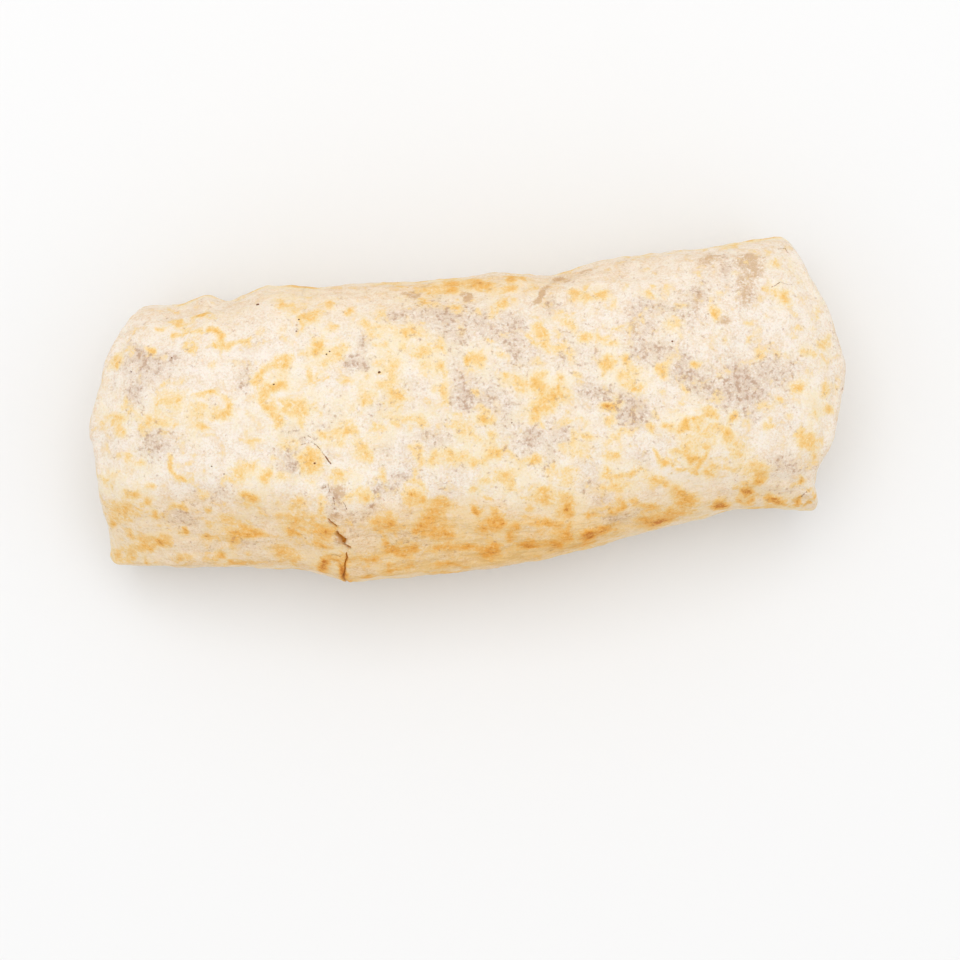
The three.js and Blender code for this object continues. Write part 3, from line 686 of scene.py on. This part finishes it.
# The steep sides, the front more than the back, and a little the ends get a darker warm tint: partly real
# toasting, partly painted shade and painted warm reflected light
turned = np.where(normal[..., 1] < 0, 1, BACK_SHADE_AND_TOAST) * np.abs(normal[..., 1])
steep = smooth_step(turned, *STEEP)
sides_toast_and_shade = toast_and_shade_along(x) * steep + END_SHADE_AND_TOAST * smooth_step(np.abs(normal[..., 0]), *END_ON)
layers = {
    "toast": toast * (1 + SIDE_MARKS * steep * seen),
    "halo": halo,
    "flour": flour,
    "damp": damp,
    "stain_and_crease_shade": stain_and_crease_shade,
    "toast_and_shade_on_sides": sides_toast_and_shade * (UNSEEN_SHADE_AND_TOAST + (1 - UNSEEN_SHADE_AND_TOAST) * seen),
    "tear": np.maximum(torn * (OPEN_WALL + (1 - OPEN_WALL) * shaded), lip_tint),
    "spread": SEEN_BLISTERS + (1 - SEEN_BLISTERS) * (1 - seen),
    "crack": np.zeros_like(seen),
}
for name, values in layers.items():
    layer = skin_mesh.attributes.new(name, "FLOAT", "POINT")
    layer.data.foreach_set("value", np.ravel(values).astype(np.float32))

# The skin is cut finer along the cracks, so that they are real grooves
WELL_SEEN = 0.3
from_crack = np.min([from_line(line, picture_u, picture_v) for line, width, strength in CRACKS], axis=0)
near_crack = ((from_crack < CRACK_REACH) & (seen > WELL_SEEN)).ravel()
shape = bmesh.new()
shape.from_mesh(skin_mesh)
bmesh.ops.recalc_face_normals(shape, faces=shape.faces)
cracked = {face for face in shape.faces if any(near_crack[corner.index] for corner in face.verts)}
split_edges = [edge for edge in shape.edges if any(face in cracked for face in edge.link_faces)]
bmesh.ops.subdivide_edges(shape, edges=split_edges, cuts=CRACK_CUTS, use_grid_fill=True)
shape.normal_update()
crack_layer = shape.verts.layers.float["crack"]
for corner in shape.verts:
    if 0 <= corner.index < vertex_count and not near_crack[corner.index]:
        continue
    at_u, at_v = in_picture(np.array(corner.co) / MM - shift)
    for line, width, strength in CRACKS:
        apart = from_line(line, at_u, at_v)
        share = strength * (1 - smooth_step(apart, CRACK_EDGE[0] * width, CRACK_EDGE[1] * width))
        corner[crack_layer] = max(corner[crack_layer], float(share))
    corner.co -= corner.normal * corner[crack_layer] * CRACK_DEPTH * MM
shape.to_mesh(skin_mesh)
shape.free()
skin_mesh.shade_smooth()


def placed(name, data):
    made = bpy.data.objects.new(name, data)
    bpy.context.scene.collection.objects.link(made)
    return made


skin = placed("tortilla_skin", skin_mesh)


def add(tree, kind, inputs=None, **settings):
    made = tree.nodes.new(kind)
    for name, value in settings.items():
        setattr(made, name, value)
    for name, value in (inputs or {}).items():
        if isinstance(value, bpy.types.NodeSocket):
            tree.links.new(value, made.inputs[name])
        else:
            made.inputs[name].default_value = value
    return made


def sums(tree, operation, first, second=0.0):
    return add(tree, "ShaderNodeMath", {0: first, 1: second}, operation=operation).outputs[0]


def ramp(tree, value, low, high, start=0.0, end=1.0):
    inputs = {0: value, 1: low, 2: high, 3: start, 4: end}
    return add(tree, "ShaderNodeMapRange", inputs, interpolation_type="SMOOTHSTEP").outputs[0]


def blend_colour(tree, share, first, second, how="MIX"):
    mix = add(tree, "ShaderNodeMix", {0: share}, data_type="RGBA", blend_type=how)
    for place, colour in ((6, first), (7, second)):
        if isinstance(colour, bpy.types.NodeSocket):
            tree.links.new(colour, mix.inputs[place])
        else:
            mix.inputs[place].default_value = (*colour, 1)
    return mix.outputs[2]


def noise(tree, where, scale, detail=2.0, roughness=0.5, distortion=0.0):
    inputs = {"Vector": where, "Scale": scale, "Detail": detail, "Roughness": roughness,
              "Distortion": distortion}
    return add(tree, "ShaderNodeTexNoise", inputs).outputs["Fac"]


def painted_value(tree, name):
    return add(tree, "ShaderNodeAttribute", attribute_name=name).outputs["Fac"]


def new_material(name):
    material = bpy.data.materials.new(name)
    material.use_nodes = True
    return material, material.node_tree.nodes["Principled BSDF"]


# Brightness of a white surface under the scene's light
LIGHT = 1.23


# The albedo of what shows as this sRGB colour on screen
def shown(red, green, blue):
    channels = [c / 255 for c in (red, green, blue)]
    linear = [c / 12.92 if c < 0.04045 else ((c + 0.055) / 1.055) ** 2.4 for c in channels]
    return tuple(c / LIGHT for c in linear)


FLOUR = shown(255, 245, 232)
DOUGH = shown(245, 224, 199)
CREAM = shown(255, 240, 210)
PALE_TOAST = shown(254, 227, 174)
GOLD_TOAST = shown(251, 200, 114)
DARK_TOAST = shown(208, 131, 44)
DAMP_GREY = shown(226, 203, 181)
DAMP_SPECK = shown(198, 164, 138)
TAN_OF_STAINS_AND_CREASE_SHADE = shown(222, 190, 154)
GRAIN_TINT = (0.86, 0.82, 0.76)
STREAK_TINT = (0.84, 0.76, 0.6)
# Tint of the steep sides: partly real toasting, partly painted shade and painted warm reflected light
SIDES_SHADE_AND_TOAST_TINT = (0.96, 0.73, 0.4)
CRACK_SHADE = shown(150, 104, 72)
TORN_CRUMB = shown(206, 132, 36)
# Painted shade inside the split, under its overhung wall
TORN_SHADE = shown(146, 76, 10)
# Where each colour shows: from this strength of its mark, fully at that one, and its least and most cover
DOUGH_SHOWS = (0.4, 0.62)
CREAM_SHOWS = (0.1, 0.55, 0, 0.9)
DAMP_SHOWS = (0.1, 1.1, 0, 0.75)
WHERE_STAINS_AND_CREASE_SHADE_SHOW = (0.12, 0.7, 0, 0.95)
FLOUR_SHOWS = (0.1, 0.8, 0, 0.85)
PALE_SHOWS = (0.03, 0.45)
GOLD_SHOWS = (0.24, 0.92)
DARK_SHOWS = (0.85, 1.6, 0, 0.85)
SPECK_SHOWS = (0.62, 0.88, 0, 0.85)
GRAIN_SHOWS = (0.46, 0.7, 0, 0.42)
STREAK_SHOWS = (0.48, 0.66, 0, 0.75)
CRACK_SHOWS = (0.05, 0.9)
CRUMB_SHOWS = (0.1, 0.6)
SPLIT_SHADE_SHOWS = (0.6, 1)
# What the clouds and patches of the dough add to the marks, in the same terms
WARM_CLOUDS = (0.4, 0.7, 0, 0.25)
DAMP_CLOUDS = (0.52, 0.3, 0, 0.3)
DAPPLES = (0.5, 0.72, 0, 0.34)
BLISTER_SCORCH = 0.45
DAMP_SPECKS = 0.2
# Noise of the dough: scale, detail, roughness and distortion
CLOUDS = (85, 3, 0.55)
PATCHES = (250, 4, 0.6, 0.4)
RAGS = (560, 4, 0.65, 0.5)
GRAIN = (1500, 3, 0.8)
GRIT = (760, 2, 0.6)
STREAKS = (650, 3, 0.7)
STREAK_STRETCH = (0.22, 1, 1)
# How much the ragged and the grainy noise break up each kind of mark
BROKEN_UP = {
    "halo": (3, 1.5), "damp": (2.4, 1.6), "stain_and_crease_shade": (3, 2), "flour": (2, 1), "toast": (2.3, 1.7),
    "toast_and_shade_on_sides": (0.6, 0.4), "crack": (3, 4),
}
# Finish: roughness over the patches, the bump of the dough in metres, and the light inside it
ROUGHNESS = (0.3, 0.7, 0.7, 0.9)
DAMP_GLOSS = 0.2
RAG_BUMP, GRAIN_BUMP, SPECK_PIT = 0.6, 0.35, 0.25
BUMP_STRENGTH = 0.5
BUMP_DEPTH = 0.0004
SHEEN = 0.25
LIGHT_INSIDE = 0.12
LIGHT_RADIUS = (1.0, 0.55, 0.3)
LIGHT_DEPTH = 0.002


def tortilla_material():
    material, shader = new_material("griddled_tortilla")
    tree = material.node_tree
    where = add(tree, "ShaderNodeTexCoord").outputs["Object"]

    cloud = noise(tree, where, *CLOUDS)
    patchy = noise(tree, where, *PATCHES)
    ragged = noise(tree, where, *RAGS)
    grain = noise(tree, where, *GRAIN)
    grit = noise(tree, where, *GRIT)
    stretched = add(tree, "ShaderNodeMapping", {"Vector": where, "Scale": STREAK_STRETCH}).outputs[0]
    streak = noise(tree, stretched, *STREAKS)

    def scaled(value, factor):
        return sums(tree, "MULTIPLY", value, factor)

    def broken(value, name):
        coarse, fine = BROKEN_UP[name]
        sway = sums(tree, "ADD", scaled(sums(tree, "SUBTRACT", ragged, 0.5), coarse),
                    scaled(sums(tree, "SUBTRACT", grain, 0.5), fine))
        return scaled(value, sums(tree, "ADD", sway, 1.0))

    def mark(name):
        return broken(painted_value(tree, name), name)

    def marked(name, more):
        return broken(sums(tree, "ADD", painted_value(tree, name), more), name)

    def lay(under, strength, shows, over, how="MIX"):
        return blend_colour(tree, ramp(tree, strength, *shows), under, over, how)

    floury = sums(tree, "ADD", scaled(patchy, 0.5), scaled(grain, 0.5))
    colour = lay(FLOUR, floury, DOUGH_SHOWS, DOUGH)
    warm = marked("halo", ramp(tree, cloud, *WARM_CLOUDS))
    colour = lay(colour, warm, CREAM_SHOWS, CREAM)
    damp = marked("damp", ramp(tree, cloud, *DAMP_CLOUDS))
    colour = lay(colour, damp, DAMP_SHOWS, DAMP_GREY)
    # Tan stains, and painted shade along a crease at the back edge
    colour = lay(colour, mark("stain_and_crease_shade"), WHERE_STAINS_AND_CREASE_SHADE_SHOW, TAN_OF_STAINS_AND_CREASE_SHADE)
    colour = lay(colour, mark("flour"), FLOUR_SHOWS, FLOUR)

    blister = scaled(painted_value(tree, "blister"), BLISTER_SCORCH)
    scorch = marked("toast", sums(tree, "MAXIMUM", ramp(tree, patchy, *DAPPLES), blister))
    colour = lay(colour, scorch, PALE_SHOWS, PALE_TOAST)
    colour = lay(colour, scorch, GOLD_SHOWS, GOLD_TOAST)
    colour = lay(colour, scorch, DARK_SHOWS, DARK_TOAST)

    speck = ramp(tree, sums(tree, "ADD", grit, scaled(damp, DAMP_SPECKS)), *SPECK_SHOWS)
    colour = blend_colour(tree, speck, colour, DAMP_SPECK)
    # Painted shade and warm reflected light, with real toasting, over the steep sides
    colour = blend_colour(tree, mark("toast_and_shade_on_sides"), colour, SIDES_SHADE_AND_TOAST_TINT, "MULTIPLY")
    colour = lay(colour, grain, GRAIN_SHOWS, GRAIN_TINT, "MULTIPLY")
    streaked = scaled(ramp(tree, streak, *STREAK_SHOWS), painted_value(tree, "toast_and_shade_on_sides"))
    colour = blend_colour(tree, streaked, colour, STREAK_TINT, "MULTIPLY")

    colour = lay(colour, mark("crack"), CRACK_SHOWS, CRACK_SHADE)
    tear = painted_value(tree, "tear")
    colour = lay(colour, tear, CRUMB_SHOWS, TORN_CRUMB)
    # Painted shade in the split's overhung wall
    colour = lay(colour, tear, SPLIT_SHADE_SHOWS, TORN_SHADE)
    tree.links.new(colour, shader.inputs["Base Color"])

    dull = sums(tree, "SUBTRACT", ramp(tree, patchy, *ROUGHNESS), scaled(damp, DAMP_GLOSS))
    tree.links.new(dull, shader.inputs["Roughness"])
    bumps = sums(tree, "ADD", scaled(ragged, RAG_BUMP), scaled(grain, GRAIN_BUMP))
    bumps = sums(tree, "SUBTRACT", bumps, scaled(speck, SPECK_PIT))
    bumps = sums(tree, "SUBTRACT", bumps, streaked)
    bump = {"Height": bumps, "Strength": BUMP_STRENGTH, "Distance": BUMP_DEPTH}
    tree.links.new(add(tree, "ShaderNodeBump", bump).outputs["Normal"], shader.inputs["Normal"])
    shader.inputs["Specular IOR Level"].default_value = SHEEN
    shader.inputs["Subsurface Weight"].default_value = LIGHT_INSIDE
    shader.inputs["Subsurface Radius"].default_value = LIGHT_RADIUS
    shader.inputs["Subsurface Scale"].default_value = LIGHT_DEPTH
    return material


def new_tree(name, sizes):
    tree = bpy.data.node_groups.new(name, "GeometryNodeTree")
    kinds = {"Geometry": "Geometry", **dict.fromkeys(sizes, "Float"), "Seed": "Int", "Material": "Material"}
    for label, kind in kinds.items():
        tree.interface.new_socket(label, in_out="INPUT", socket_type="NodeSocket" + kind)
    tree.interface.new_socket("Geometry", in_out="OUTPUT", socket_type="NodeSocketGeometry")
    return tree, tree.nodes.new("NodeGroupInput").outputs


def end_tree(tree, geometry, material):
    real = add(tree, "GeometryNodeRealizeInstances", {"Geometry": geometry})
    dressed = add(tree, "GeometryNodeSetMaterial", {"Geometry": real.outputs[0], "Material": material})
    result = tree.nodes.new("NodeGroupOutput")
    tree.links.new(dressed.outputs[0], result.inputs["Geometry"])


def named_value(tree, name, data_type="FLOAT"):
    made = add(tree, "GeometryNodeInputNamedAttribute", {"Name": name}, data_type=data_type)
    return made.outputs["Attribute"]


def stored(tree, geometry, name, value):
    inputs = {"Geometry": geometry, "Name": name, "Value": value}
    return add(tree, "GeometryNodeStoreNamedAttribute", inputs, data_type="FLOAT").outputs[0]


def random_value(tree, least, most, seed):
    inputs = {2: least, 3: most, "Seed": seed}
    return add(tree, "FunctionNodeRandomValue", inputs, data_type="FLOAT").outputs[1]


# Small blisters all over: how strong they are, how ragged their edges, and how near the ground they end
BLISTER_STRENGTH = (0.25, 1.0)
BLISTER_EDGE = (1.5, 0.3)
BLISTER_RAGS = (420, 2)
BLISTER_RAGGED = 0.7
CLEAR_OF_GROUND = (0.001, 0.006)


def blister_tree():
    tree, given = new_tree("griddle_blisters", ("Spacing", "Density", "Smallest", "Largest", "Rise"))
    spots = add(tree, "GeometryNodeDistributePointsOnFaces", {
        "Mesh": given["Geometry"], "Distance Min": given["Spacing"], "Density Max": given["Density"],
        "Density Factor": named_value(tree, "spread"), "Seed": given["Seed"]}, distribute_method="POISSON")
    size = random_value(tree, given["Smallest"], given["Largest"], given["Seed"])
    strength = random_value(tree, *BLISTER_STRENGTH, 3)
    sized = stored(tree, spots.outputs["Points"], "size", size)
    sized = stored(tree, sized, "strength", strength)
    here = add(tree, "GeometryNodeInputPosition").outputs[0]
    nearest = add(tree, "GeometryNodeSampleNearest", {"Geometry": sized, "Sample Position": here}).outputs[0]

    def of_nearest(value, data_type="FLOAT"):
        inputs = {"Geometry": sized, "Value": value, "Index": nearest}
        return add(tree, "GeometryNodeSampleIndex", inputs, data_type=data_type).outputs[0]

    centre = of_nearest(here, "FLOAT_VECTOR")
    reach = of_nearest(named_value(tree, "size"))
    power = of_nearest(named_value(tree, "strength"))
    apart = add(tree, "ShaderNodeVectorMath", {0: here, 1: centre}, operation="DISTANCE").outputs["Value"]
    ragged = sums(tree, "MULTIPLY", noise(tree, here, *BLISTER_RAGS), BLISTER_RAGGED)
    share = sums(tree, "ADD", sums(tree, "DIVIDE", apart, reach), ragged)
    dome = sums(tree, "MULTIPLY", ramp(tree, share, *BLISTER_EDGE), power)
    height = add(tree, "ShaderNodeSeparateXYZ", {0: here}).outputs["Z"]
    free = ramp(tree, height, *CLEAR_OF_GROUND)
    lift = sums(tree, "MULTIPLY", sums(tree, "MULTIPLY", dome, given["Rise"]), free)
    normal = add(tree, "GeometryNodeInputNormal").outputs[0]
    offset = add(tree, "ShaderNodeVectorMath", {0: normal, "Scale": lift}, operation="SCALE").outputs[0]
    marked = stored(tree, given["Geometry"], "blister", dome)
    raised = add(tree, "GeometryNodeSetPosition", {"Geometry": marked, "Offset": offset})
    end_tree(tree, raised.outputs[0], given["Material"])
    return tree


def grow(piece, tree, values):
    modifier = piece.modifiers.new(tree.name, "NODES")
    modifier.node_group = tree
    for item in tree.interface.items_tree:
        if item.in_out == "INPUT" and item.name in values:
            modifier[item.identifier] = values[item.name]
    depsgraph = bpy.context.evaluated_depsgraph_get()
    made = bpy.data.meshes.new_from_object(
        piece.evaluated_get(depsgraph), preserve_all_data_layers=True, depsgraph=depsgraph)
    piece.modifiers.clear()
    piece.data = made


grow(skin, blister_tree(), {
    "Spacing": 0.0042, "Density": 60000.0, "Smallest": 0.0008, "Largest": 0.0022, "Rise": 0.00022,
    "Seed": 5, "Material": tortilla_material()})
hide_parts("tortilla_roll")
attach(skin, "root")

# Burnt specks: loose grains of flour that charred on the griddle and baked onto the skin.
# Each is a low crumb, half sunk in the tortilla. Places and radii are in the picture's pixels.
BURNT = [
    (257, 304, 1.8), (380, 371, 1.5), (315, 463, 1.1), (274, 383, 1), (328, 352, 0.9), (325, 355, 0.9),
    (299, 319, 0.9), (296, 330, 0.9), (673, 340, 1), (511, 423, 0.8), (172, 357, 0.9), (213, 467, 0.9),
    (224, 475, 0.7), (132, 372, 0.8),
]
CRUMB_HEIGHT = 0.55
CRUMB_SLIM = (0.6, 1.0)
SCORCHED = shown(150, 88, 34)
CHARRED = shown(82, 46, 20)
CRUMB_GRAIN = (3000, 3, 0.6)
SCORCH_SHOWS = (0.35, 0.65)
CRUMB_ROUGHNESS = (0.3, 0.7, 0.6, 0.9)
FAR = 99


def charred_material():
    material, shader = new_material("charred_flour")
    tree = material.node_tree
    where = add(tree, "ShaderNodeTexCoord").outputs["Object"]
    rough = noise(tree, where, *CRUMB_GRAIN)
    colour = blend_colour(tree, ramp(tree, rough, *SCORCH_SHOWS), CHARRED, SCORCHED)
    tree.links.new(colour, shader.inputs["Base Color"])
    tree.links.new(ramp(tree, rough, *CRUMB_ROUGHNESS), shader.inputs["Roughness"])
    return material


def speck_tree():
    tree, given = new_tree("burnt_specks", ("Height",))
    crumb = add(tree, "GeometryNodeMeshIcoSphere", {"Radius": 1.0, "Subdivisions": 2})
    outward = named_value(tree, "outward", "FLOAT_VECTOR")
    upright = add(tree, "FunctionNodeAlignRotationToVector", {"Vector": outward}, axis="Z")
    slim = random_value(tree, *CRUMB_SLIM, given["Seed"])
    flat = add(tree, "ShaderNodeCombineXYZ", {"X": 1.0, "Y": slim, "Z": given["Height"]}).outputs[0]
    sizes = {0: flat, "Scale": named_value(tree, "radius")}
    scale = add(tree, "ShaderNodeVectorMath", sizes, operation="SCALE").outputs[0]
    grains = add(tree, "GeometryNodeInstanceOnPoints", {
        "Points": given["Geometry"], "Instance": crumb.outputs["Mesh"],
        "Rotation": upright.outputs[0], "Scale": scale})
    end_tree(tree, grains.outputs[0], given["Material"])
    return tree


out_of_view = FAR * (seen < WELL_SEEN)
under_speck = [int(np.argmin(np.hypot(picture_u - at_u, picture_v - at_v) + out_of_view))
               for at_u, at_v, radius in BURNT]
speck_mesh = bpy.data.meshes.new("burnt_specks")
speck_mesh.from_pydata([skin.data.vertices[place].co for place in under_speck], [], [])
radius_layer = speck_mesh.attributes.new("radius", "FLOAT", "POINT")
radius_layer.data.foreach_set("value", [radius * MM_PER_PIXEL * MM for at_u, at_v, radius in BURNT])
outward_layer = speck_mesh.attributes.new("outward", "FLOAT_VECTOR", "POINT")
outward_layer.data.foreach_set("vector", normal.reshape(-1, 3)[under_speck].ravel())
specks = placed("burnt_specks", speck_mesh)
grow(specks, speck_tree(), {"Height": CRUMB_HEIGHT, "Seed": 2, "Material": charred_material()})
specks.data.shade_smooth()
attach(specks, "root")

# The floor is a plain pale sheet, and the light is a large soft box overhead with a white room round it.
# The camera looks straight down, turned so that the roll rises to the right as it does in the picture.
FLOOR = 3.0
FLOOR_GREY = (0.8, 0.8, 0.8, 1)
FLOOR_ROUGHNESS = 0.9
WHITE = (1, 1, 1, 1)
ROOM_STRENGTH = 0.96
BOX_SIZE = 1.2
BOX_ENERGY = 8
BOX_PLACE = (0, 0.5, 1.5)
BOX_TILT = math.radians(-18)
floor_mesh = bpy.data.meshes.new("floor")
floor_corners = [(-FLOOR, -FLOOR, 0), (FLOOR, -FLOOR, 0), (FLOOR, FLOOR, 0), (-FLOOR, FLOOR, 0)]
floor_mesh.from_pydata(floor_corners, [], [(0, 1, 2, 3)])
floor = placed("floor", floor_mesh)
floor_paint, floor_shader = new_material("pale_floor")
floor_shader.inputs["Base Color"].default_value = FLOOR_GREY
floor_shader.inputs["Roughness"].default_value = FLOOR_ROUGHNESS
floor_mesh.materials.append(floor_paint)

world = bpy.data.worlds.new("white_room")
world.use_nodes = True
background = world.node_tree.nodes["Background"]
background.inputs["Color"].default_value = WHITE
background.inputs["Strength"].default_value = ROOM_STRENGTH
bpy.context.scene.world = world
box_light = bpy.data.lights.new("soft_box", "AREA")
box_light.shape = "SQUARE"
box_light.size = BOX_SIZE
box_light.energy = BOX_ENERGY
soft_box = placed("soft_box", box_light)
soft_box.location = BOX_PLACE
soft_box.rotation_euler = (BOX_TILT, 0, 0)

SENSOR = 36
lens = bpy.data.cameras.new("camera")
lens.sensor_width = SENSOR
lens.lens = focal * SENSOR / FRAME_SIZE
camera = placed("camera", lens)
camera.location = (CAMERA_OVER + shift) * MM
camera.rotation_euler = (0, 0, CAMERA_TURN)
bpy.context.scene.camera = camera
bpy.context.scene.view_settings.view_transform = "Standard"
